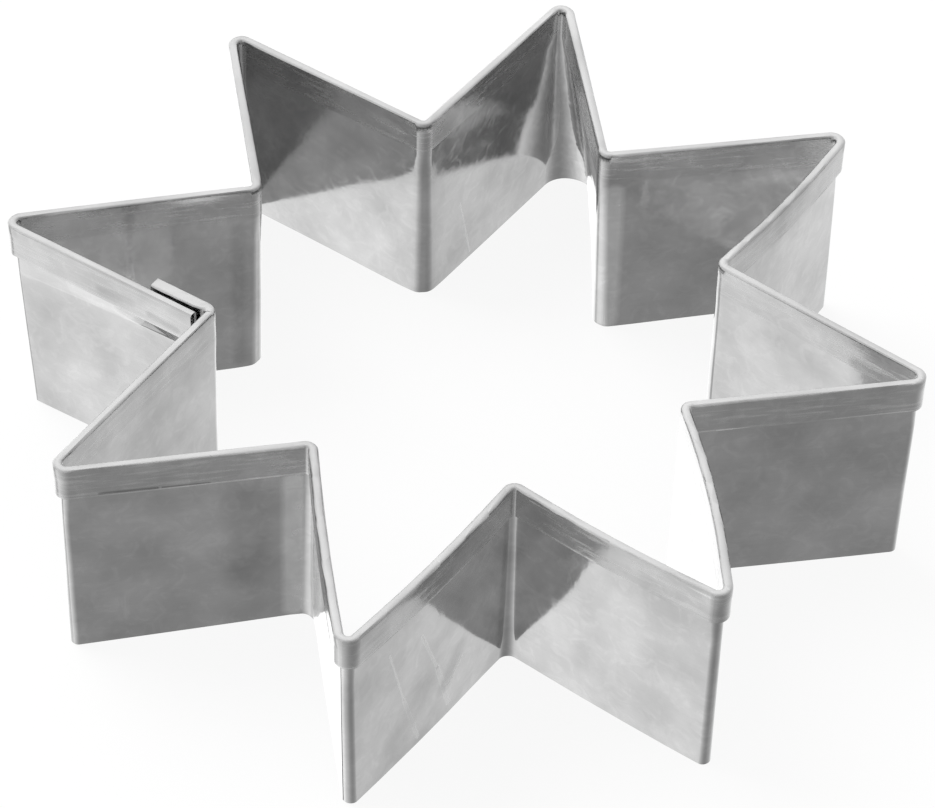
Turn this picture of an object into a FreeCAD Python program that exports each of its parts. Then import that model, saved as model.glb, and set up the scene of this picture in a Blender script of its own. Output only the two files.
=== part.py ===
import FreeCAD, Part
import os
from math import asin, cos, degrees, radians, sin, tan

import Sketcher

# An eight-pointed star cutter, bent from one strip of stainless sheet.
# The strip's top edge is folded outward into a hem, which is pressed flat on top. The
# strip is bent into sixteen walls. Its two ends lap at one notch, where two spot welds
# join them.
# It stands on its cutting edge at z = 0, with the hem on top. Millimetres and degrees.
# The strip is followed clockwise, seen from above, along its inner face.

SIZES = {
    "tip_reach": 40.1,
    "notch_reach": 21.7,
    "band_height": 22.0,
    "sheet": 0.35,
    "hem_gap": 0.12,
    "hem_height": 3.3,
    "fold_corner": 0.18,
    "settle_height": 2.5,
    "tip_hem_bend": 0.4,
    "tip_wall_bend": 0.3,
    "tip_foot_bend": 0.35,
    "blunt_wall_bend": 0.85,
    "blunt_foot_bend": 2.6,
    "notch_hem_bend": 0.28,
    "notch_wall_bend": 0.65,
    "notch_foot_bend": 0.95,
    "lap_length": 6.5,
    "lap_slit": 0.7,
    "lap_setback": 1.9,
    "seam_gap": 0.05,
    "weld_width": 2.4,
    "weld_above_edge": 4.5,
    "weld_below_waist": 3.7,
}

# The finished star is a little uneven. Each pair is how far a bend stands outward, and
# sideways (counter-clockwise seen from above), from its place on an even star.
RIM_SHIFTS = {
    "tip_1": (-0.5, -0.2),
    "notch_b": (-0.5, 0.5),
    "tip_2": (-0.5, -0.1),
    "notch_c": (0.1, 0.5),
    "tip_3": (-0.4, -0.4),
    "tip_4": (-0.5, -0.5),
    "notch_e": (0.2, 0.1),
    "tip_5": (0.4, -0.5),
    "notch_f": (-0.3, 0.1),
    "tip_6": (-0.4, 0.1),
    "notch_g": (-0.6, -1.3),
    "tip_7": (0.6, 0.8),
    "notch_h": (0.3, 0.1),
    "tip_8": (-0.7, 0.3),
    "notch_a": (-0.3, 0.1),
}

# Below the hem the sheet has sprung: how far each bend's foot stands from its rim.
FOOT_LEANS = {
    "tip_1": (6.9, -2.5),
    "notch_b": (0.6, 0.1),
    "tip_2": (1.3, 0.9),
    "tip_3": (0.1, 0.4),
    "notch_d": (-0.3, 0.3),
    "tip_4": (0.1, 0.2),
    "notch_e": (-0.5, 0.1),
    "tip_5": (-0.8, 0.0),
    "notch_f": (-0.4, -0.5),
    "tip_6": (0.2, 0.1),
    "tip_7": (-0.6, -0.2),
    "notch_h": (0.3, 0.1),
    "tip_8": (0.4, -1.0),
    "notch_a": (0.8, -0.3),
}

# Five walls are slightly bowed: how far the middle bend point stands outside the wall's line.
CROWNS = {
    "crown_2c": 0.6,
    "crown_d4": 0.8,
    "crown_4e": 0.5,
    "crown_e5": 0.5,
    "crown_5f": 0.3,
}
CROWN_FOOT_SHARE = 0.5
CROWN_ARC_SHARE = 0.3

BLUNT_TIP = "tip_1"
NOTCH_MARKS = "abcdefgh"
BENDS = [
    "tip_7", "notch_h", "tip_8", "notch_a", "tip_1", "notch_b", "tip_2", "crown_2c",
    "notch_c", "tip_3", "notch_d", "crown_d4", "tip_4", "crown_4e", "notch_e", "crown_e5",
    "tip_5", "crown_5f", "notch_f", "tip_6", "notch_g",
]
TIP_STEP = 45.0
FIRST_TIP_ANGLE = 90.0
FIRST_NOTCH_ANGLE = FIRST_TIP_ANGLE + TIP_STEP / 2

UP = FreeCAD.Vector(0, 0, 1)


def fill_sheet(doc):
    """Put every driving size in the sheet, one named cell to a row."""
    sheet = doc.addObject("Spreadsheet::Sheet", "sizes")
    rows = dict(SIZES)
    for suffix, table in (("", RIM_SHIFTS), ("_foot", FOOT_LEANS)):
        for bend, (out, side) in table.items():
            rows[f"{bend}{suffix}_out"] = out
            rows[f"{bend}{suffix}_side"] = side
    rows.update(CROWNS)
    for row, (name, value) in enumerate(rows.items(), start=1):
        sheet.set(f"A{row}", name)
        sheet.set(f"B{row}", str(value))
        sheet.setAlias(f"B{row}", name)
    doc.recompute()
    return sheet


def side_of(direction):
    """The unit vector that points out of the star from a wall that runs in direction."""
    return UP.cross(direction)


def unit(vector):
    return FreeCAD.Vector(vector).normalize()


def crossing(start, direction, other, other_direction):
    """The point where two straight lines in plan meet."""
    across = side_of(other_direction)
    return start + direction * ((other - start).dot(across) / direction.dot(across))


class Strip:
    """The strip's plan at any height, read from the sheet."""

    def __init__(self, sheet):
        self.sheet = sheet
        self.thickness = self.size("sheet")
        self.top = self.size("band_height")
        self.hem_foot = self.top - self.size("hem_height")
        self.waist = self.hem_foot - self.size("settle_height")
        self.rim_width = 2 * self.thickness + self.size("hem_gap")

    def size(self, name):
        return float(self.sheet.get(name))

    def shift(self, bend, suffix, table):
        """A bend's outward and sideways shift, or none where the star is even."""
        if bend not in table:
            return 0.0, 0.0
        return self.size(f"{bend}{suffix}_out"), self.size(f"{bend}{suffix}_side")

    def corner(self, bend, height):
        """The sharp corner of the inner face at a tip or notch."""
        kind, mark = bend.split("_")
        if kind == "tip":
            turn = FIRST_TIP_ANGLE - TIP_STEP * (int(mark) - 1)
            reach = self.size("tip_reach")
        else:
            turn = FIRST_NOTCH_ANGLE - TIP_STEP * NOTCH_MARKS.index(mark)
            reach = self.size("notch_reach")
        outward = FreeCAD.Vector(cos(radians(turn)), sin(radians(turn)), 0)
        out, side = self.shift(bend, "", RIM_SHIFTS)
        lean_out, lean_side = self.shift(bend, "_foot", FOOT_LEANS)
        sprung = max(0.0, 1 - height / self.hem_foot)
        along = reach + out + lean_out * sprung
        return outward * along + side_of(outward) * (side + lean_side * sprung)

    def radius(self, bend, height):
        """The inner face's radius at a bend: tight in the hem, wider below it.

        The sizes are measured on the inside of each bend. At a notch that is the strip's
        outer side, so there the inner face lies the strip's own thickness further out.
        """
        kind = bend.split("_")[0]
        in_hem = height >= self.hem_foot
        if in_hem:
            radius = self.size(f"{kind}_hem_bend")
        else:
            shape = "blunt" if bend == BLUNT_TIP else kind
            wall = self.size(f"{shape}_wall_bend")
            foot = self.size(f"{shape}_foot_bend")
            radius = foot + (wall - foot) * height / self.waist
        if kind == "notch":
            radius += self.rim_width if in_hem else self.thickness
        return radius

    def line(self, height):
        """Corner points and bend radii of the inner face, from end to end of the strip."""
        corners = {bend: self.corner(bend, height) for bend in BENDS if bend not in CROWNS}
        layers = self.rim_width + self.size("lap_slit")
        if height < self.hem_foot:
            layers = self.thickness + self.size("seam_gap")

        # The lapped end runs from its notch inside the first wall and parallel to it, so the
        # first wall's line, from the tip, passes the notch one layer outside it.
        notch = corners["notch_g"]
        run = corners["tip_7"] - notch
        swing = FreeCAD.Rotation(UP, -degrees(asin(layers / run.Length)))
        back = swing.multVec(unit(run))
        outer_notch = crossing(notch + side_of(back) * layers, back, notch, notch - corners["tip_6"])
        start = outer_notch + back * self.size("lap_setback")
        end = notch + back * self.size("lap_length")

        points = [(start, 0.0)]
        for place, bend in enumerate(BENDS):
            if bend in CROWNS:
                before, after = corners[BENDS[place - 1]], corners[BENDS[place + 1]]
                points.append(self.crown(bend, before, after, height))
            else:
                points.append((corners[bend], self.radius(bend, height)))
        points.append((end, 0.0))
        return points

    def crown(self, bend, before, after, height):
        """The middle point of a bowed wall, with the radius of its long gentle bend."""
        sprung = max(0.0, 1 - height / self.hem_foot)
        rise = self.size(bend) * (1 - CROWN_FOOT_SHARE * sprung)
        run = after - before
        middle = (before + after) * 0.5 + side_of(unit(run)) * rise
        turn = unit(middle - before).getAngle(unit(after - middle))
        return middle, CROWN_ARC_SHARE * run.Length / tan(turn / 2)

    def edges(self, height, offset):
        """Straight runs and arcs of the face that lies offset outside the inner face."""
        points = self.line(height)
        lift = UP * height
        result = []
        here = points[0][0] + side_of(unit(points[1][0] - points[0][0])) * offset + lift
        for (before, _), (corner, radius), (after, _) in zip(points, points[1:], points[2:]):
            coming = unit(corner - before)
            going = unit(after - corner)
            turn = coming.getAngle(going)
            hand = 1 if coming.cross(going).z > 0 else -1
            reach = radius * tan(turn / 2)
            centre = corner - coming * reach + side_of(coming) * hand * radius
            start = corner - coming * reach + side_of(coming) * offset
            finish = corner + going * reach + side_of(going) * offset
            middle = centre + unit(corner - centre) * (radius - hand * offset)
            result.append(Part.LineSegment(here, start + lift).toShape())
            result.append(Part.Arc(start + lift, middle + lift, finish + lift).toShape())
            here = finish + lift
        last = points[-1][0] + side_of(unit(points[-1][0] - points[-2][0])) * offset + lift
        result.append(Part.LineSegment(here, last).toShape())
        return result

    def outline(self, height):
        """The closed outline of the single sheet, cut level at a height."""
        outer = self.edges(height, self.thickness)
        inner = self.edges(height, 0.0)
        near = Part.LineSegment(inner[0].Vertexes[0].Point, outer[0].Vertexes[0].Point).toShape()
        far = Part.LineSegment(outer[-1].Vertexes[-1].Point, inner[-1].Vertexes[-1].Point).toShape()
        return Part.Wire([near] + outer + [far] + inner[::-1])


def add_wire(doc, label, wire):
    feature = doc.addObject("Part::Feature", label)
    feature.Shape = wire
    return feature


def add_hem_section(doc, strip):
    """Sketch the hem's cross-section, across the strip at its first end."""
    sketch = doc.addObject("Sketcher::SketchObject", "hem_section")
    sheet = strip.thickness
    gap = strip.size("hem_gap")
    corner = strip.size("fold_corner")
    width = strip.rim_width
    low, top = strip.hem_foot, strip.top

    def line(start, end):
        ends = [FreeCAD.Vector(across, height, 0) for across, height in (start, end)]
        return sketch.addGeometry(Part.LineSegment(*ends), False)

    leg_foot = line((0, low), (sheet, low))
    leg_outside = line((sheet, low), (sheet, top - sheet))
    slit_end = line((sheet, top - sheet), (sheet + gap, top - sheet))
    leaf_inside = line((sheet + gap, top - sheet), (sheet + gap, low))
    leaf_foot = line((sheet + gap, low), (width, low))
    leaf_outside = line((width, low), (width, top - corner))
    outer_corner = line((width, top - corner), (width - corner, top))
    fold_top = line((width - corner, top), (corner, top))
    inner_corner = line((corner, top), (0, top - corner))
    leg_inside = line((0, top - corner), (0, low))
    outline = [
        leg_foot, leg_outside, slit_end, leaf_inside, leaf_foot,
        leaf_outside, outer_corner, fold_top, inner_corner, leg_inside,
    ]

    start, end = 1, 2
    upright_axis = -2
    rules = [
        ("Coincident", before, end, after, start)
        for before, after in zip(outline, outline[1:] + outline[:1])
    ]
    rules += [("Horizontal", level) for level in (leg_foot, slit_end, leaf_foot, fold_top)]
    rules += [("Vertical", upright) for upright in (leg_outside, leaf_inside, leaf_outside, leg_inside)]
    rules += [
        ("Horizontal", leg_foot, end, leaf_foot, start),
        ("Horizontal", leaf_outside, end, leg_inside, start),
        ("PointOnObject", leg_foot, start, upright_axis),
    ]
    for rule in rules:
        sketch.addConstraint(Sketcher.Constraint(*rule))
    sizes = [
        ("leg_sheet", "DistanceX", (leg_foot, start, leg_foot, end), sheet, "sizes.sheet"),
        ("leaf_sheet", "DistanceX", (leaf_foot, start, leaf_foot, end), sheet, "sizes.sheet"),
        ("fold_gap", "DistanceX", (leg_foot, end, leaf_foot, start), gap, "sizes.hem_gap"),
        ("outer_corner", "DistanceX", (outer_corner, end, outer_corner, start), corner,
         "sizes.fold_corner"),
        ("inner_corner", "DistanceX", (inner_corner, end, inner_corner, start), corner,
         "sizes.fold_corner"),
        ("hem_foot", "DistanceY", (leg_foot, start), low, "sizes.band_height - sizes.hem_height"),
        ("slit_top", "DistanceY", (slit_end, start), top - sheet, "sizes.band_height - sizes.sheet"),
        ("corner_foot", "DistanceY", (leg_inside, start), top - corner,
         "sizes.band_height - sizes.fold_corner"),
        ("fold_height", "DistanceY", (fold_top, start), top, "sizes.band_height"),
    ]
    for name, kind, where, value, rule in sizes:
        place = sketch.addConstraint(Sketcher.Constraint(kind, *where, value))
        sketch.renameConstraint(place, name)
        sketch.setExpression(f"Constraints.{name}", rule)

    points = strip.line(strip.hem_foot)
    forward = unit(points[1][0] - points[0][0])
    turn = FreeCAD.Rotation(side_of(forward), UP, forward, "XYZ")
    sketch.Placement = FreeCAD.Placement(points[0][0], turn)
    return sketch


def add_hem(doc, strip):
    """Sweep the hem's section along the strip's inner face at the rim."""
    section = add_hem_section(doc, strip)
    path = add_wire(doc, "rim_line", Part.Wire(strip.edges(strip.hem_foot, 0.0)))
    doc.recompute()
    hem = doc.addObject("Part::Sweep", "hem")
    hem.Sections = [section]
    hem.Spine = (path, [f"Edge{number + 1}" for number in range(len(path.Shape.Edges))])
    hem.Solid = True
    hem.Frenet = False
    return hem


def add_wall(doc, strip):
    """Loft the single sheet from the cutting edge, past the waist, to the hem."""
    heights = {"foot_line": 0.0, "waist_line": strip.waist, "hem_foot_line": strip.hem_foot}
    wall = doc.addObject("Part::Loft", "wall")
    wall.Sections = [add_wire(doc, label, strip.outline(at)) for label, at in heights.items()]
    wall.Solid = True
    wall.Ruled = True
    return wall


def add_welds(doc, strip):
    """Two round spot welds through the lapped layers, half a sheet deep in each."""
    heights = {
        "weld_low": strip.size("weld_above_edge"),
        "weld_high": strip.waist - strip.size("weld_below_waist"),
    }
    share = (1 + strip.size("lap_setback") / strip.size("lap_length")) / 2
    welds = []
    for label, height in heights.items():
        (notch, _), (end, _) = strip.line(height)[-2:]
        outward = side_of(unit(end - notch))
        weld = doc.addObject("Part::Cylinder", label)
        weld.setExpression("Radius", "sizes.weld_width / 2")
        weld.setExpression("Height", "sizes.sheet + sizes.seam_gap")
        base = notch + (end - notch) * share + outward * strip.thickness / 2 + UP * height
        weld.Placement = FreeCAD.Placement(base, FreeCAD.Rotation(UP, outward))
        welds.append(weld)
    return welds


def main():
    doc = FreeCAD.newDocument("star_cookie_cutter")
    strip = Strip(fill_sheet(doc))
    band = doc.addObject("Part::MultiFuse", "star_band")
    band.Label = "star_band"
    band.Shapes = [add_wall(doc, strip), add_hem(doc, strip)] + add_welds(doc, strip)
    band.Refine = True
    doc.recompute()

    for item in doc.Objects:
        if "Invalid" in item.State or "Error" in item.State:
            raise RuntimeError(f"{item.Label} was not built")
    if band.Shape.isNull() or not band.Shape.isValid() or len(band.Shape.Solids) != 1:
        raise RuntimeError("star_band is not one sound solid")

    os.makedirs("parts", exist_ok=True)
    band.Shape.exportStep(f"parts/{band.Label}.step")
    print(band.Label, round(band.Shape.Volume, 2), "mm3", band.Shape.BoundBox)


main()
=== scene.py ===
import logging
from dataclasses import dataclass
from enum import Enum
from math import atan2, cos, degrees, floor, radians, sin
from typing import Any, Mapping, Union

import bmesh
import bpy
from mathutils import Matrix, Vector, noise


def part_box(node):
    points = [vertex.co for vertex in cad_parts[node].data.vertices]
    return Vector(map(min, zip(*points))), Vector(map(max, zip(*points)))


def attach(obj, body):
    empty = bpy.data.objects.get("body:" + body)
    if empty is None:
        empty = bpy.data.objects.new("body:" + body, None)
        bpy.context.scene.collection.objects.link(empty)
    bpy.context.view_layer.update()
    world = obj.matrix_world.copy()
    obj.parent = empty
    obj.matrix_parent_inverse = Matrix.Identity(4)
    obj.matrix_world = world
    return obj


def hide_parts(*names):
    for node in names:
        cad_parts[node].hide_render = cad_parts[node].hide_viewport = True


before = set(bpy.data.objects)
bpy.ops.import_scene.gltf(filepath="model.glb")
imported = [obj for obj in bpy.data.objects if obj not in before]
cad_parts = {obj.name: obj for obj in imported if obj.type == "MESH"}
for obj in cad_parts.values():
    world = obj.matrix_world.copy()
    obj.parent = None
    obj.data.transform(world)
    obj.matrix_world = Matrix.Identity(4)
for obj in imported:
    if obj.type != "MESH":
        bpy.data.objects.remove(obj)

log = logging.getLogger("star_cookie_cutter")

MM = 0.001
FULL_TURN = 360
QUAD_CORNERS = 4
WHITE = (1.0, 1.0, 1.0, 1.0)


class Signal:
    """A number that changes over a surface, used in plain arithmetic."""

    def __init__(self, paint: "Paint", socket: bpy.types.NodeSocket) -> None:
        """Wrap one output socket.

        Args:
            paint: The node tree that the socket belongs to.
            socket: The output socket that carries the number.
        """
        self.paint = paint
        self.socket = socket

    def _math(self, operation: str, first: "Operand", second: "Operand") -> "Signal":
        """Join two operands with a Math node.

        Args:
            operation: The Math node's operation.
            first: The first operand.
            second: The second operand.

        Returns:
            The result as a new signal.
        """
        return self.paint.node("ShaderNodeMath", {"operation": operation}, {0: first, 1: second})

    def __add__(self, other: "Operand") -> "Signal":
        """Add a number or signal."""
        return self._math("ADD", self, other)

    def __radd__(self, other: "Operand") -> "Signal":
        """Add to a number."""
        return self._math("ADD", other, self)

    def __sub__(self, other: "Operand") -> "Signal":
        """Take a number or signal away."""
        return self._math("SUBTRACT", self, other)

    def __rsub__(self, other: "Operand") -> "Signal":
        """Take this signal from a number."""
        return self._math("SUBTRACT", other, self)

    def __mul__(self, other: "Operand") -> "Signal":
        """Multiply by a number or signal."""
        return self._math("MULTIPLY", self, other)

    def __rmul__(self, other: "Operand") -> "Signal":
        """Multiply a number."""
        return self._math("MULTIPLY", other, self)

    def __truediv__(self, other: "Operand") -> "Signal":
        """Divide by a number or signal."""
        return self._math("DIVIDE", self, other)


Operand = Union[float, Signal]


@dataclass(frozen=True)
class Pattern:
    """A soft random pattern: swells to a metre, finer layers, curl and its scale along each axis."""

    scale: float
    detail: float
    curl: float = 0.0
    stretch: tuple[float, float, float] = (1.0, 1.0, 1.0)


class Paint:
    """One node tree, with one method that adds any node to it."""

    def __init__(self, tree: bpy.types.NodeTree) -> None:
        """Start from an empty tree.

        Args:
            tree: The material's or world's node tree.
        """
        self.tree = tree
        tree.nodes.clear()

    def node(
        self,
        kind: str,
        settings: Mapping[str, Any],
        inputs: Mapping[Union[int, str], Any],
        output: Union[int, str] = 0,
    ) -> Signal:
        """Add a node, set it up and feed it.

        Args:
            kind: The node's type name.
            settings: The node's own properties, with a ramp's stops under "stops".
            inputs: Values, or signals to link, by socket name or number.
            output: The output socket to hand back.

        Returns:
            The chosen output as a signal.
        """
        made = self.tree.nodes.new(kind)
        for name, value in settings.items():
            if name == "stops":
                self._set_stops(made.color_ramp, value)
            else:
                setattr(made, name, value)
        for place, value in inputs.items():
            if isinstance(value, Signal):
                self.tree.links.new(value.socket, made.inputs[place])
            else:
                made.inputs[place].default_value = value
        return Signal(self, made.outputs[output] if made.outputs else None)

    def clamp(self, value: Operand) -> Signal:
        """Keep a number between 0 and 1."""
        return self.node("ShaderNodeClamp", {}, {0: value})

    def step(self, value: Signal, none: float, full: float) -> Signal:
        """Rise from 0, where a number has its first level, to 1 at its second."""
        return self.clamp((value - none) / (full - none))

    def ridge(self, value: Signal, middle: float, reach: float) -> Signal:
        """1 where a number is at the middle, falling to 0 at the reach on each side."""
        away = self.node("ShaderNodeMath", {"operation": "ABSOLUTE"}, {0: value - middle})
        return self.step(away, reach, 0.0)

    def vector(self, operation: str, first: Any, second: Any) -> Signal:
        """Join two vectors into a vector."""
        return self.node("ShaderNodeVectorMath", {"operation": operation}, {0: first, 1: second})

    def dot(self, first: Any, second: Any) -> Signal:
        """How far two vectors point the same way, times their lengths."""
        settings = {"operation": "DOT_PRODUCT"}
        return self.node("ShaderNodeVectorMath", settings, {0: first, 1: second}, "Value")

    def up(self, vector: Signal) -> Signal:
        """A vector's upward part."""
        return self.node("ShaderNodeSeparateXYZ", {}, {0: vector}, "Z")

    def level(self, vector: Signal) -> Signal:
        """A vector without its upward part."""
        return self.vector("MULTIPLY", vector, (1.0, 1.0, 0.0))

    def noise(self, place: Signal, pattern: Pattern) -> Signal:
        """A random pattern.

        Args:
            place: Where the pattern is read.
            pattern: The pattern's sizes.

        Returns:
            The pattern, from 0 to 1.
        """
        read = self.node("ShaderNodeMapping", {}, {"Vector": place, "Scale": pattern.stretch})
        sizes = {
            "Vector": read,
            "Scale": pattern.scale,
            "Detail": pattern.detail,
            "Distortion": pattern.curl,
        }
        return self.node("ShaderNodeTexNoise", {}, sizes, "Fac")

    @staticmethod
    def _set_stops(ramp: bpy.types.ColorRamp, stops: tuple[tuple[float, float], ...]) -> None:
        """Give a ramp its stops.

        Args:
            ramp: The ramp to set.
            stops: Each stop's place and grey level.
        """
        while len(ramp.elements) < len(stops):
            ramp.elements.new(1.0)
        for element, (place, level) in zip(ramp.elements, stops):
            element.position = place
            element.color = (level, level, level, 1.0)


@dataclass(frozen=True)
class Touch:
    """What a worn place, a painted highlight and a painted shadow do to the sheet, and how soft a
    mark's edge is, as a share of its reach.
    """

    tone: float
    roughness: float
    softness: float = 1.0


class WearAndLight(Enum):
    """The kinds of mark on the sheet: wear marks, painted highlight lines and painted shadow lines."""

    SCRATCH = Touch(tone=0.22, roughness=0.30, softness=0.9)
    # Painted highlight: a thin lighter line.
    PAINTED_HIGHLIGHT_LINE = Touch(tone=0.36, roughness=0.22, softness=0.9)
    RUB = Touch(tone=0.26, roughness=0.12, softness=0.7)
    FAINT_RUB = Touch(tone=0.08, roughness=0.05)
    SMUDGE = Touch(tone=-0.09, roughness=0.10)
    FAINT_SMUDGE = Touch(tone=-0.05, roughness=0.04)
    # Painted shadow: a thin darker line.
    PAINTED_SHADOW_LINE = Touch(tone=-0.24, roughness=0.12)


@dataclass(frozen=True)
class Mark:
    """One straight mark on the sheet: its kind, its ends and its reach to each side, in millimetres."""

    wear_and_light: WearAndLight
    start: tuple[float, float, float]
    end: tuple[float, float, float]
    reach: float


MARKS = (
    Mark(WearAndLight.SCRATCH, (3.9, -32.0, 14.0), (4.7, -29.8, 7.8), 0.16),
    Mark(WearAndLight.SCRATCH, (4.7, -29.8, 7.8), (5.3, -28.0, 1.4), 0.26),
    Mark(WearAndLight.SCRATCH, (2.1, -35.9, 15.5), (2.8, -33.9, 7.8), 0.10),
    Mark(WearAndLight.SCRATCH, (2.8, -33.9, 7.8), (3.6, -31.8, 0.8), 0.20),
    Mark(WearAndLight.SCRATCH, (6.0, -26.6, 6.0), (5.3, -28.1, 4.0), 0.22),
    Mark(WearAndLight.SMUDGE, (3.9, -31.6, 6.6), (2.7, -34.4, 2.6), 1.9),
    Mark(WearAndLight.SMUDGE, (5.0, -28.6, 4.4), (5.9, -26.9, 7.6), 0.9),
    # Painted highlight along the hem's lower edge.
    Mark(WearAndLight.PAINTED_HIGHLIGHT_LINE, (13.4, -22.9, 18.8), (16.5, -24.9, 18.8), 0.10),
    # Painted shadow along the hem's lower edge.
    Mark(WearAndLight.PAINTED_SHADOW_LINE, (-24.6, -27.6, 19.05), (-20.2, -25.8, 19.0), 0.14),
    Mark(WearAndLight.PAINTED_SHADOW_LINE, (-19.8, -25.6, 19.0), (-16.2, -24.1, 18.95), 0.08),
    Mark(WearAndLight.SMUDGE, (-13.2, -22.2, 16.0), (-13.4, -22.1, 6.0), 1.9),
    Mark(WearAndLight.FAINT_SMUDGE, (15.6, -23.6, 4.8), (15.9, -23.8, 6.4), 0.9),
    Mark(WearAndLight.FAINT_SMUDGE, (-31.3, -5.2, 19.7), (-28.3, -6.3, 20.1), 0.5),
    Mark(WearAndLight.SMUDGE, (-26.3, -7.0, 19.7), (-23.6, -8.0, 19.5), 0.35),
    Mark(WearAndLight.SMUDGE, (-22.5, 7.4, 17.5), (-22.6, 7.4, 1.0), 0.6),
    # Painted highlight along the hem's lower edge.
    Mark(WearAndLight.PAINTED_HIGHLIGHT_LINE, (23.5, -7.8, 18.8), (38.9, -1.1, 18.8), 0.06),
    Mark(WearAndLight.RUB, (-9.9, -20.8, 17.5), (-10.1, -20.6, 1.0), 0.95),
    Mark(WearAndLight.SCRATCH, (-6.1, 25.3, 8.3), (-5.5, 27.2, 0.6), 0.10),
    Mark(WearAndLight.FAINT_RUB, (-13.2, 21.7, 20.7), (-11.1, 20.9, 20.1), 0.6),
    Mark(WearAndLight.RUB, (9.0, 20.6, 17.5), (9.2, 20.8, 0.8), 0.9),
    Mark(WearAndLight.SMUDGE, (33.7, 2.4, 19.3), (35.3, 1.6, 19.0), 0.6),
    # Painted highlight along the lower edge of the rim's fold.
    Mark(WearAndLight.PAINTED_HIGHLIGHT_LINE, (10.4, -22.0, 21.6), (16.8, -24.9, 21.7), 0.07),
    Mark(WearAndLight.PAINTED_HIGHLIGHT_LINE, (16.8, -24.9, 21.7), (26.6, -28.8, 21.6), 0.07),
)


@dataclass(frozen=True)
class SatinSteel:
    """Rolled stainless sheet: a soft shine, fine lengthwise grain, rubs and scratches, with painted
    highlight lines and painted shade lines.

    Lengths are in millimetres. The hem and its pressed top are rubbed duller than the walls. A field
    that ends in range holds the level where something starts to show and the level where it is full.
    """

    name: str = "satin_steel"
    reflectance: float = 0.60
    roughness: float = 0.05
    cloud: Pattern = Pattern(scale=210.0, detail=4.0)
    cloud_depth: float = 0.34
    cloud_dulling: float = 0.09
    patch: Pattern = Pattern(scale=85.0, detail=2.0)
    patch_depth: float = 0.28
    pattern_middle: float = 0.5
    grain: Pattern = Pattern(scale=1.0, detail=3.0, stretch=(120.0, 120.0, 9000.0))
    grain_gain: float = 0.05
    rub: Pattern = Pattern(scale=520.0, detail=3.0, curl=1.6)
    rub_range: tuple[float, float] = (0.48, 0.68)
    rub_touch: Touch = Touch(tone=0.05, roughness=0.06)
    rim_range: tuple[float, float] = (0.4, 0.7333)
    rim_touch: Touch = Touch(tone=0.05, roughness=0.26)
    rim_cloud_dulling: float = 0.2
    outside_range: tuple[float, float] = (0.0, 0.0025)
    hem_range: tuple[float, float] = (18.7, 18.825)
    hem_touch: Touch = Touch(tone=-0.03, roughness=0.07)
    scuff: Pattern = Pattern(scale=1.0, detail=2.0, stretch=(260.0, 260.0, 3200.0))
    scuff_range: tuple[float, float] = (0.5167, 0.6833)
    scuff_touch: Touch = Touch(tone=0.10, roughness=0.16)
    # Painted highlight: a thin, lighter and rougher line along the hem's outer lower edge, in patches.
    hem_edge_highlight_place: float = 18.82
    hem_edge_highlight_reach: float = 0.12
    hem_edge_highlight_range: tuple[float, float] = (0.38, 0.58)
    hem_edge_highlight_touch: Touch = Touch(tone=0.26, roughness=0.3)
    # Painted shade: a darker band just below the hem's outer lower edge, in patches.
    hem_ledge_shade_place: float = 18.48
    hem_ledge_shade_reach: float = 0.3
    hem_ledge_shade_range: tuple[float, float] = (0.4833, 0.65)
    hem_ledge_shade_loss: float = 0.20
    swell: Pattern = Pattern(scale=75.0, detail=1.0)
    swell_relief: float = 0.09
    pebble: Pattern = Pattern(scale=480.0, detail=3.0, curl=0.8)
    pebble_relief: float = 0.009
    grain_relief: float = 0.0007
    marks: tuple[Mark, ...] = MARKS

    def material(self) -> bpy.types.Material:
        """Build the material.

        Returns:
            The finished material.
        """
        made = bpy.data.materials.new(self.name)
        made.use_nodes = True
        paint = Paint(made.node_tree)
        place = paint.node("ShaderNodeTexCoord", {}, {}, "Object")
        height = paint.up(place) / MM
        facing = paint.node("ShaderNodeNewGeometry", {}, {}, "Normal")
        rim = paint.step(paint.up(facing), *self.rim_range)
        outside = paint.step(paint.dot(paint.level(place), facing), *self.outside_range)
        hem = paint.step(height, *self.hem_range)
        grain = paint.noise(place, self.grain)
        cloud = paint.noise(place, self.cloud)
        patch = paint.noise(place, self.patch)
        rub = paint.step(paint.noise(place, self.rub), *self.rub_range)
        scuff = hem * paint.step(paint.noise(place, self.scuff), *self.scuff_range)
        # Painted highlight along the hem's outer lower edge, shown in patches.
        hem_edge_highlight = paint.ridge(height, self.hem_edge_highlight_place, self.hem_edge_highlight_reach)
        hem_edge_highlight = hem_edge_highlight * outside * paint.step(patch, *self.hem_edge_highlight_range)
        # Painted shade below the hem's ledge, on the outer face, shown in patches.
        hem_ledge_shade = paint.ridge(height, self.hem_ledge_shade_place, self.hem_ledge_shade_reach)
        hem_ledge_shade = hem_ledge_shade * outside * paint.step(cloud, *self.hem_ledge_shade_range)

        # The band below the hem's ledge takes tone away as painted shade.
        tone = self.reflectance + self.grain_gain * grain - self.hem_ledge_shade_loss * hem_ledge_shade
        tone = tone + self.cloud_depth * (cloud - self.pattern_middle)
        tone = tone + self.patch_depth * (patch - self.pattern_middle)
        dullness = self.roughness + self.cloud_dulling * cloud + self.rim_cloud_dulling * rim * cloud
        # This list holds wear and painted light: the hem's edge line and the bright and dark mark lines
        # are painted highlights and painted shadow.
        wear_and_painted_light = [
            (rub, self.rub_touch),
            (rim, self.rim_touch),
            (hem, self.hem_touch),
            (scuff, self.scuff_touch),
            (hem_edge_highlight, self.hem_edge_highlight_touch),
        ]
        wear_and_painted_light += [(self._shown(paint, place, mark), mark.wear_and_light.value) for mark in self.marks]
        for shown, touch in wear_and_painted_light:
            tone = tone + touch.tone * shown
            dullness = dullness + touch.roughness * shown
        tone = paint.clamp(tone)
        colour = paint.node("ShaderNodeCombineColor", {}, {"Red": tone, "Green": tone, "Blue": tone})

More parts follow.
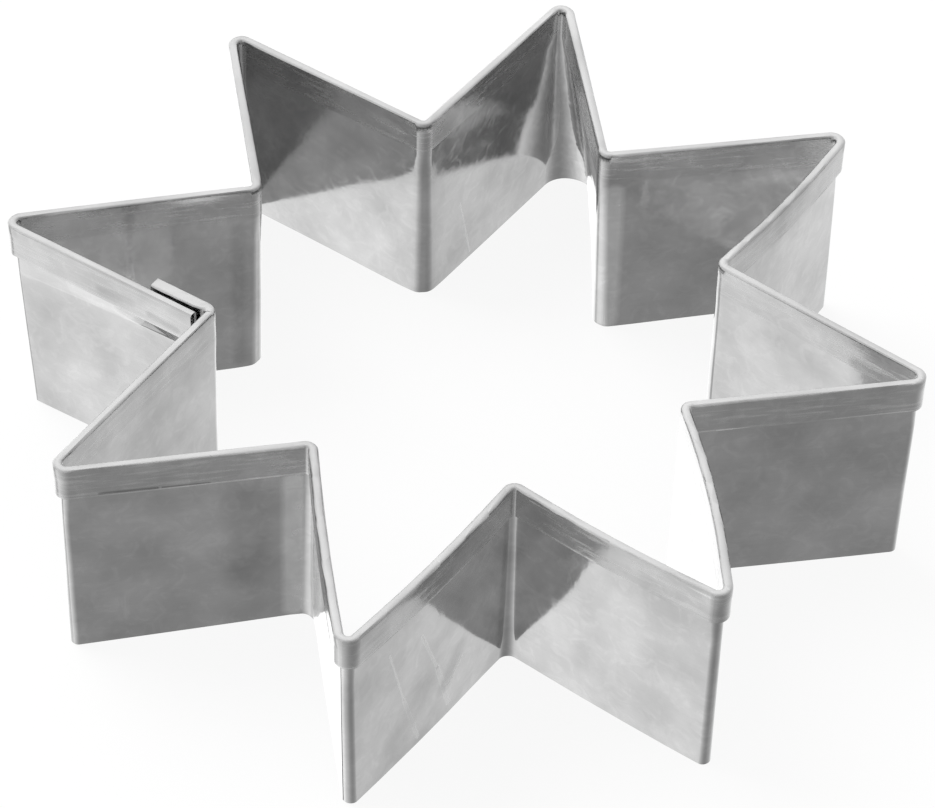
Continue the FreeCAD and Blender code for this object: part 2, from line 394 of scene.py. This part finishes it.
        relief = self.grain_relief * grain + self.swell_relief * paint.noise(place, self.swell)
        relief = relief + self.pebble_relief * paint.noise(place, self.pebble)
        bump = {"Height": relief, "Strength": 1.0, "Distance": MM}
        finish = {
            "Base Color": colour,
            "Metallic": 1.0,
            "Roughness": paint.clamp(dullness),
            "Normal": paint.node("ShaderNodeBump", {}, bump),
        }
        steel = paint.node("ShaderNodeBsdfPrincipled", {}, finish)
        paint.node("ShaderNodeOutputMaterial", {}, {"Surface": steel})
        return made

    @staticmethod
    def _shown(paint: Paint, place: Signal, mark: Mark) -> Signal:
        """Where one mark shows.

        Args:
            paint: The material's nodes.
            place: Object coordinates.
            mark: The mark.

        Returns:
            1 along the middle of the mark, falling to 0 across its soft edge.
        """
        start, run = Vector(mark.start) * MM, (Vector(mark.end) - Vector(mark.start)) * MM
        offset = paint.vector("SUBTRACT", place, start)
        along = paint.clamp(paint.dot(offset, run) / run.length_squared)
        scaled = {0: run, "Scale": along}
        nearest = paint.node("ShaderNodeVectorMath", {"operation": "SCALE"}, scaled)
        gap = paint.vector("SUBTRACT", offset, nearest)
        away = paint.node("ShaderNodeVectorMath", {"operation": "LENGTH"}, {0: gap}, "Value")
        half_edge = mark.wear_and_light.value.softness / 2
        return paint.step(away / (mark.reach * MM), 1.0 + half_edge, 1.0 - half_edge)


@dataclass(frozen=True)
class Spring:
    """How far a bend has sprung open, how far from the bend that reaches, and how it falls off."""

    depth: float
    reach: float
    fall: float


@dataclass(frozen=True)
class Corner:
    """One tip or notch of the star below the hem, where the sheet has sprung a little."""

    is_tip: bool
    foot: Vector
    waist: Vector
    spring: Spring

    def at(self, share: float) -> Vector:
        """The corner's place in plan, from 0 at the foot to 1 at the waist."""
        return self.foot.lerp(self.waist, share)


@dataclass
class StarBand:
    """The folded and welded strip, which is the whole cutter.

    Lengths are in millimetres and angles in degrees.
    """

    node: str = "star_band"
    body: str = "root"
    slot: str = "stainless_sheet"
    merge_reach: float = 0.0005
    flat_turn: float = 1.0
    level_step: float = 1.04
    turn_step: float = 2.0
    crease_turn: float = 50.0
    corner_step: float = 22.5
    corner_reach: float = 12.0
    hem_foot: float = 18.7
    waist: float = 16.2
    level_face: float = 0.5
    level_slack: float = 0.02
    cut_slack: float = 1e-8
    spring: Spring = Spring(depth=0.10, reach=4.5, fall=2.0)
    wide_spring: Spring = Spring(depth=0.22, reach=1.8, fall=1.0)
    wide_notches: tuple[float, ...] = (112.5, 157.5, 247.5)
    swell_depth: float = 0.035
    swell_length: float = 9.0
    swell_seed: int = 1
    lap_notch: tuple[float, float] = (-19.99, -6.87)
    lap_heading: float = 159.62
    leaf_across: tuple[float, float] = (0.42, 0.92)
    leaf_along: tuple[float, float] = (-1.0, 7.0)
    leaf_opening: float = 0.42
    leaf_opening_run: float = 2.0
    end_across: float = 1.32
    end_along: tuple[float, float] = (1.4, 2.6)
    end_face: float = 1.9
    end_shift: float = 0.45

    def build(self) -> bpy.types.Object:
        """Copy the strip, give it the small unevenness of handled sheet, and dress it.

        Returns:
            The strip's object.
        """
        shape = bmesh.new()
        shape.from_mesh(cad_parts[self.node].data)
        bmesh.ops.remove_doubles(shape, verts=shape.verts, dist=self.merge_reach * MM)
        self._cut(shape)
        self._move(shape)
        self._crease(shape)
        mesh = bpy.data.meshes.new("star_band_sheet")
        shape.to_mesh(mesh)
        shape.free()
        for attribute in [layer for layer in mesh.attributes if layer.name == "custom_normal"]:
            mesh.attributes.remove(attribute)
        mesh.materials.append(SatinSteel().material())
        piece = bpy.data.objects.new("star_band_sheet", mesh)
        bpy.context.scene.collection.objects.link(piece)
        even = piece.modifiers.new("even_shading", "WEIGHTED_NORMAL")
        even.keep_sharp = True
        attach(piece, self.body)
        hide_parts(self.node)
        return piece

    def _cut(self, shape: bmesh.types.BMesh) -> None:
        """Cut the strip's faces into a fine even net, so that they can bend.

        Args:
            shape: The strip.
        """
        shape.normal_update()
        inner_edges = [
            edge for edge in shape.edges
            if all(abs(face.normal.z) < self.level_face for face in edge.link_faces)
        ]
        bmesh.ops.dissolve_limit(
            shape, angle_limit=radians(self.flat_turn), verts=[], edges=inner_edges
        )
        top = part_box(self.node)[1].z / MM
        levels = [self.level_step * count for count in range(1, int(top / self.level_step))]
        half_turn_steps = range(int(FULL_TURN / 2 / self.turn_step))
        turns = [self.turn_step * (count + 0.5) for count in half_turn_steps]
        planes = [(Vector((0, 0, level * MM)), Vector((0, 0, 1))) for level in levels]
        planes += [(Vector(), Vector((cos(radians(turn)), sin(radians(turn)), 0))) for turn in turns]
        for point, across in planes:
            whole = shape.verts[:] + shape.edges[:] + shape.faces[:]
            bmesh.ops.bisect_plane(
                shape, geom=whole, dist=self.cut_slack, plane_co=point, plane_no=across
            )
        many_sided = [face for face in shape.faces if len(face.verts) > QUAD_CORNERS]
        bmesh.ops.triangulate(shape, faces=many_sided)

    def _crease(self, shape: bmesh.types.BMesh) -> None:
        """Shade the sheet as smooth, with its cut edges and folds kept crisp.

        Args:
            shape: The strip.
        """
        shape.normal_update()
        for edge in shape.edges:
            edge.smooth = edge.calc_face_angle(0.0) < radians(self.crease_turn)
        for face in shape.faces:
            face.smooth = True
            face.material_index = 0

    def _corners(self, shape: bmesh.types.BMesh) -> list[Corner]:
        """Find the star's tips and notches at the foot and at the waist.

        Args:
            shape: The strip.

        Returns:
            The corners, one every 22.5 degrees.
        """
        outlines = [self._outline(shape, level) for level in (0.0, self.waist)]
        corners = []
        for count in range(round(FULL_TURN / self.corner_step)):
            turn = self.corner_step * count
            is_tip = count % 2 == 0
            choose = max if is_tip else min
            ends = []
            for outline in outlines:
                nearby = [
                    point for point in outline
                    if self._turn_between(self._turn(point), turn) < self.corner_reach
                ]
                ends.append(choose(nearby, key=lambda point: point.length))
            spring = self.wide_spring if turn in self.wide_notches else self.spring
            corners.append(Corner(is_tip, ends[0], ends[1], spring))
        return corners

    @staticmethod
    def _turn(place: Vector) -> float:
        """A place's direction from the star's middle, from 0 to a full turn."""
        return degrees(atan2(place.y, place.x)) % FULL_TURN

    @staticmethod
    def _turn_between(first: float, second: float) -> float:
        """The smaller of the two turns between two directions."""
        return abs((first - second + FULL_TURN / 2) % FULL_TURN - FULL_TURN / 2)

    def _outline(self, shape: bmesh.types.BMesh, level: float) -> list[Vector]:
        """The places in plan, in millimetres, of the strip's vertices at one level."""
        at_level = [v.co / MM for v in shape.verts if abs(v.co.z / MM - level) < self.level_slack]
        return [place.xy for place in at_level]

    def _move(self, shape: bmesh.types.BMesh) -> None:
        """Give the strip its sprung corners, its faint swells and the open end of its hem.

        Args:
            shape: The strip.
        """
        corners = self._corners(shape)
        noise.seed_set(self.swell_seed)
        low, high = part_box(self.node)
        for vert in shape.verts:
            place = vert.co / MM
            shift = noise.noise_vector(place / self.swell_length).xy * self.swell_depth
            if place.z < self.hem_foot:
                shift += self._spring(corners, place)
            else:
                shift += self._lap(place)
            vert.co.x = min(max(vert.co.x + shift.x * MM, low.x), high.x)
            vert.co.y = min(max(vert.co.y + shift.y * MM, low.y), high.y)

    def _spring(self, corners: list[Corner], place: Vector) -> Vector:
        """How far the sheet near a bend has sprung, which rounds the walls into the bend.

        Args:
            corners: The star's tips and notches.
            place: A point of the sheet below the hem.

        Returns:
            The shift in plan.
        """
        corner = corners[floor(self._turn(place) / self.corner_step + 0.5) % len(corners)]
        here = corner.at(min(1.0, place.z / self.waist))
        away = (place.xy - here).length / corner.spring.reach
        if away > 1:
            return Vector((0.0, 0.0))
        faded = min(1.0, (self.hem_foot - place.z) / (self.hem_foot - self.waist))
        size = corner.spring.depth * faded * (1 - away) ** corner.spring.fall
        return here.normalized() * (-size if corner.is_tip else size)

    def _lap(self, place: Vector) -> Vector:
        """How far the hem's two ends stand open where they lap.

        Args:
            place: A point of the hem.

        Returns:
            The shift in plan.
        """
        heading = radians(self.lap_heading)
        run = Vector((cos(heading), sin(heading)))
        out = Vector((-run.y, run.x))
        offset = place.xy - Vector(self.lap_notch)
        along, across = offset.dot(run), offset.dot(out)
        if self._between(across, self.leaf_across) and self._between(along, self.leaf_along):
            return out * self.leaf_opening * min(1.0, max(0.0, along / self.leaf_opening_run))
        if across > self.end_across and self._between(along, self.end_along):
            fade = max(0.0, along - self.end_face) / (self.end_along[1] - self.end_face)
            return run * -self.end_shift * (1 - fade)
        return Vector((0.0, 0.0))

    @staticmethod
    def _between(value: float, limits: tuple[float, float]) -> bool:
        """Whether a number lies between two limits."""
        return limits[0] < value < limits[1]


@dataclass(frozen=True)
class Studio:
    """A glass-topped light table in a room that is bright behind and dim in front.

    Lengths are in metres and directions in degrees. A field that ends in range holds the cosine or
    slope where something starts to show, and the one where it is full.
    """

    table_reach: float = 1.5
    table_tone: float = 0.86
    table_drop: float = 0.0001
    glow_share: float = 0.9
    room_level: float = 0.75
    mirrored_level: float = 0.85
    mirrored_fall: float = 0.53
    dim_side: float = -42.8
    dip_side: float = 184.0
    dip_range: tuple[float, float] = (0.955, 0.99)
    dip_depth: float = 0.6
    corner_side: float = 158.0
    corner_range: tuple[float, float] = (0.94, 0.99)
    corner_depth: float = 0.85
    steep_range: tuple[float, float] = (-0.73, -0.80)
    share_by_height: tuple[tuple[float, float], ...] = (
        (0.0, 1.0), (0.5, 1.0), (0.62, 0.88), (0.8, 0.97), (1.0, 1.18),
    )
    lamp_place: tuple[float, float, float] = (-0.35, 0.15, 0.55)
    lamp_width: float = 0.45
    lamp_power: float = 3.2

    def build(self) -> None:
        """Lay the table and light it."""
        self._lay_table()
        self._light_room()
        self._hang_lamp()

    def _lay_table(self) -> None:
        """The table: white from above with the cutter's soft shadow, clear in a reflection."""
        shape = bmesh.new()
        bmesh.ops.create_grid(shape, x_segments=1, y_segments=1, size=self.table_reach)
        bmesh.ops.translate(shape, verts=shape.verts, vec=(0.0, 0.0, -self.table_drop))
        mesh = bpy.data.meshes.new("table")
        shape.to_mesh(mesh)
        shape.free()
        table = bpy.data.objects.new("table", mesh)
        bpy.context.scene.collection.objects.link(table)
        made = bpy.data.materials.new("lit_glass")
        made.use_nodes = True
        paint = Paint(made.node_tree)
        tone = (self.table_tone, self.table_tone, self.table_tone, 1.0)
        matt = paint.node("ShaderNodeBsdfDiffuse", {}, {"Color": tone})
        white = paint.node("ShaderNodeEmission", {}, {"Color": WHITE, "Strength": 1.0})
        clear = paint.node("ShaderNodeBsdfTransparent", {}, {})
        seen, mirrored = self._rays(paint)
        lit = paint.node("ShaderNodeMixShader", {}, {0: seen * self.glow_share, 1: matt, 2: white})
        surface = paint.node("ShaderNodeMixShader", {}, {0: mirrored, 1: lit, 2: clear})
        paint.node("ShaderNodeOutputMaterial", {}, {"Surface": surface})
        mesh.materials.append(made)

    @staticmethod
    def _rays(paint: Paint) -> tuple[Signal, Signal]:
        """Tell the rays that see a surface straight or through glass from the mirrored ones.

        Args:
            paint: The nodes that ask.

        Returns:
            1 for a seen ray, and 1 for a mirrored ray.
        """
        camera = paint.node("ShaderNodeLightPath", {}, {}, "Is Camera Ray")
        through = paint.node("ShaderNodeLightPath", {}, {}, "Is Transmission Ray")
        mirrored = paint.node("ShaderNodeLightPath", {}, {}, "Is Glossy Ray")
        return paint.clamp(camera + through), mirrored

    @staticmethod
    def _towards(paint: Paint, heading: Signal, turn: float) -> Signal:
        """How far a level heading points to one side of the room.

        Args:
            paint: The world's nodes.
            heading: A level heading of length 1.
            turn: The side's direction, in degrees.

        Returns:
            The cosine of the angle between them.
        """
        return paint.dot(heading, (cos(radians(turn)), sin(radians(turn)), 0.0))

    def _light_room(self) -> None:
        """The room: even light on the cutter, and a bright and a dim side in its reflections."""
        world = bpy.data.worlds.new("studio_room")
        world.use_nodes = True
        paint = Paint(world.node_tree)
        heading = paint.node("ShaderNodeTexCoord", {}, {}, "Generated")
        level_part = {0: paint.level(heading)}
        level_heading = paint.node("ShaderNodeVectorMath", {"operation": "NORMALIZE"}, level_part)
        rise = paint.up(heading)
        height = paint.step(rise, -1.0, 1.0)
        share = paint.node("ShaderNodeValToRGB", {"stops": self.share_by_height}, {0: height})
        steep = paint.step(rise, *self.steep_range)
        dim = self._towards(paint, level_heading, self.dim_side)
        dip = paint.step(self._towards(paint, level_heading, self.dip_side), *self.dip_range)
        dip = self.dip_depth * dip * (1.0 - steep)
        corner = self._towards(paint, level_heading, self.corner_side)
        corner = self.corner_depth * paint.step(corner, *self.corner_range) * steep
        glow = (self.mirrored_level - self.mirrored_fall * dim - dip) * share * (1.0 - corner)
        seen, mirrored = self._rays(paint)
        plain = self.room_level + (1.0 - self.room_level) * seen
        strength = plain * (1.0 - mirrored) + glow * mirrored
        room = paint.node("ShaderNodeBackground", {}, {"Color": WHITE, "Strength": strength})
        paint.node("ShaderNodeOutputWorld", {}, {"Surface": room})
        bpy.context.scene.world = world

    def _hang_lamp(self) -> None:
        """Hang one large soft lamp that faces the cutter."""
        light = bpy.data.lights.new("key_lamp", "AREA")
        light.shape = "DISK"
        light.size = self.lamp_width
        light.energy = self.lamp_power
        place = Vector(self.lamp_place)
        lamp = bpy.data.objects.new("key_lamp", light)
        lamp.location = place
        lamp.rotation_euler = (-place).to_track_quat("-Z", "Y").to_euler()
        lamp.visible_glossy = False
        bpy.context.scene.collection.objects.link(lamp)


@dataclass(frozen=True)
class Portrait:
    """The camera: it looks down on the cutter from the front, a little from the right.

    Angles are in degrees, film_width, focal_length, distance and aim in millimetres, and nearest
    is in metres.
    """

    azimuth: float = 11.694
    elevation: float = 45.819
    roll: float = 1.765
    distance: float = 342.98
    aim_right: float = 0.558
    aim_up: float = 5.778
    focal_length: float = 146.69
    film_width: float = 36.0
    nearest: float = 0.01

    def build(self) -> None:
        """Place the camera and make it the scene's own."""
        turn, rise = radians(self.azimuth), radians(self.elevation)
        back = Vector((sin(turn) * cos(rise), -cos(turn) * cos(rise), sin(rise)))
        level = Vector((cos(turn), sin(turn), 0.0))
        upright = back.cross(level)
        tilt = Matrix.Rotation(radians(self.roll), 3, back)
        right, up = tilt @ level, tilt @ upright
        place = (back * self.distance + right * self.aim_right + up * self.aim_up) * MM
        data = bpy.data.cameras.new("portrait")
        data.sensor_width = self.film_width
        data.lens = self.focal_length
        data.clip_start = self.nearest
        camera = bpy.data.objects.new("portrait", data)
        axes = Matrix((right, up, back)).transposed()
        camera.matrix_world = Matrix.Translation(place) @ axes.to_4x4()
        bpy.context.scene.collection.objects.link(camera)
        bpy.context.scene.camera = camera


def main() -> None:
    """Dress the cutter, set the studio round it and write down how large it is."""
    logging.basicConfig(level=logging.INFO, format="%(message)s")
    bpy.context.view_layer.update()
    Portrait().build()
    Studio().build()
    piece = StarBand().build()
    log.info("%s dressed, %d faces", piece.name, len(piece.data.polygons))
    bpy.context.scene.view_settings.view_transform = "Standard"


if __name__ == "__main__":
    main()
